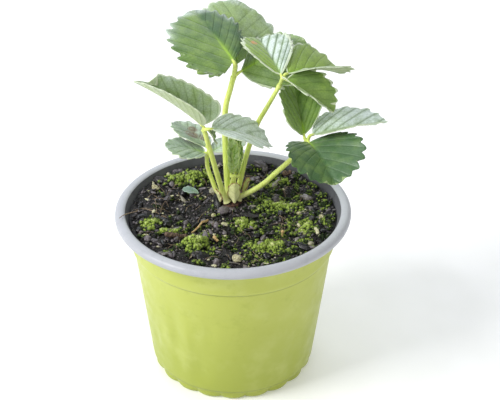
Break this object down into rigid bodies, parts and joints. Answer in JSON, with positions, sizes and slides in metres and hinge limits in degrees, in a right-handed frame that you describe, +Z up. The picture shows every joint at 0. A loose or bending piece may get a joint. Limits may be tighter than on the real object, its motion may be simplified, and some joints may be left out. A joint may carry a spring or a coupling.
{
  "type": "potted strawberry plant",
  "caption": "Young strawberry plant with three-part toothed leaves on upright stalks, in a round tapered nursery pot of moss-flecked soil.",
  "frame": {"origin": "centre of the whole plant's box at the level that the pot stands on", "axes": "+Z up along the pot's axis, -Y towards the viewer of the front, +X to the right"},
  "size_m": [0.1486, 0.1398, 0.1917],
  "materials": {
    "pot_plastic": "satin",
    "potting_mix": "matte",
    "crown_tissue": "matte",
    "leaf_stalk": "satin",
    "leaf_blade": "satin",
    "young_blade": "satin",
    "stipule_scale": "matte",
    "moss": "matte",
    "grit": "matte",
    "bark": "matte",
    "dry_straw": "matte",
    "seedling_leaf": "satin"
  },
  "bodies": {
    "root": {"pot": "pot_plastic", "soil": "potting_mix", "crown": "crown_tissue", "stalk_1": "leaf_stalk", "leaflet_1_left": "leaf_blade", "leaflet_1_top": "leaf_blade", "leaflet_1_right": "leaf_blade", "stalk_2": "leaf_stalk", "leaflet_2_left": "leaf_blade", "leaflet_2_top": "leaf_blade", "leaflet_2_right": "leaf_blade", "stalk_3": "leaf_stalk", "leaflet_3_left": "leaf_blade", "leaflet_3_right": "leaf_blade", "leaflet_3_front": "leaf_blade", "stalk_4": "leaf_stalk", "leaflet_4_left": "leaf_blade", "leaflet_4_right": "leaf_blade", "leaflet_4_back": "leaf_blade", "stalk_5": "leaf_stalk", "leaflet_5_front": "leaf_blade", "leaflet_5_left": "leaf_blade", "leaflet_5_right": "leaf_blade", "young_stalk": "leaf_stalk", "young_leaflet_left": "young_blade", "young_leaflet_middle": "young_blade", "young_leaflet_right": "young_blade", "stipule_1": "stipule_scale", "stipule_2": "stipule_scale", "stipule_3": "stipule_scale", "moss_1": "moss", "moss_2": "moss", "moss_3": "moss", "moss_4": "moss", "moss_5": "moss", "moss_6": "moss", "moss_7": "moss", "moss_8": "moss", "moss_9": "moss", "stone_1": "grit", "stone_2": "grit", "stone_3": "grit", "stone_4": "grit", "stone_5": "grit", "stone_6": "grit", "bark_twig": "bark", "straw": "dry_straw", "bark_chip": "bark", "seed_husk": "bark", "seedling": "seedling_leaf"}
  },
  "joints": []
}
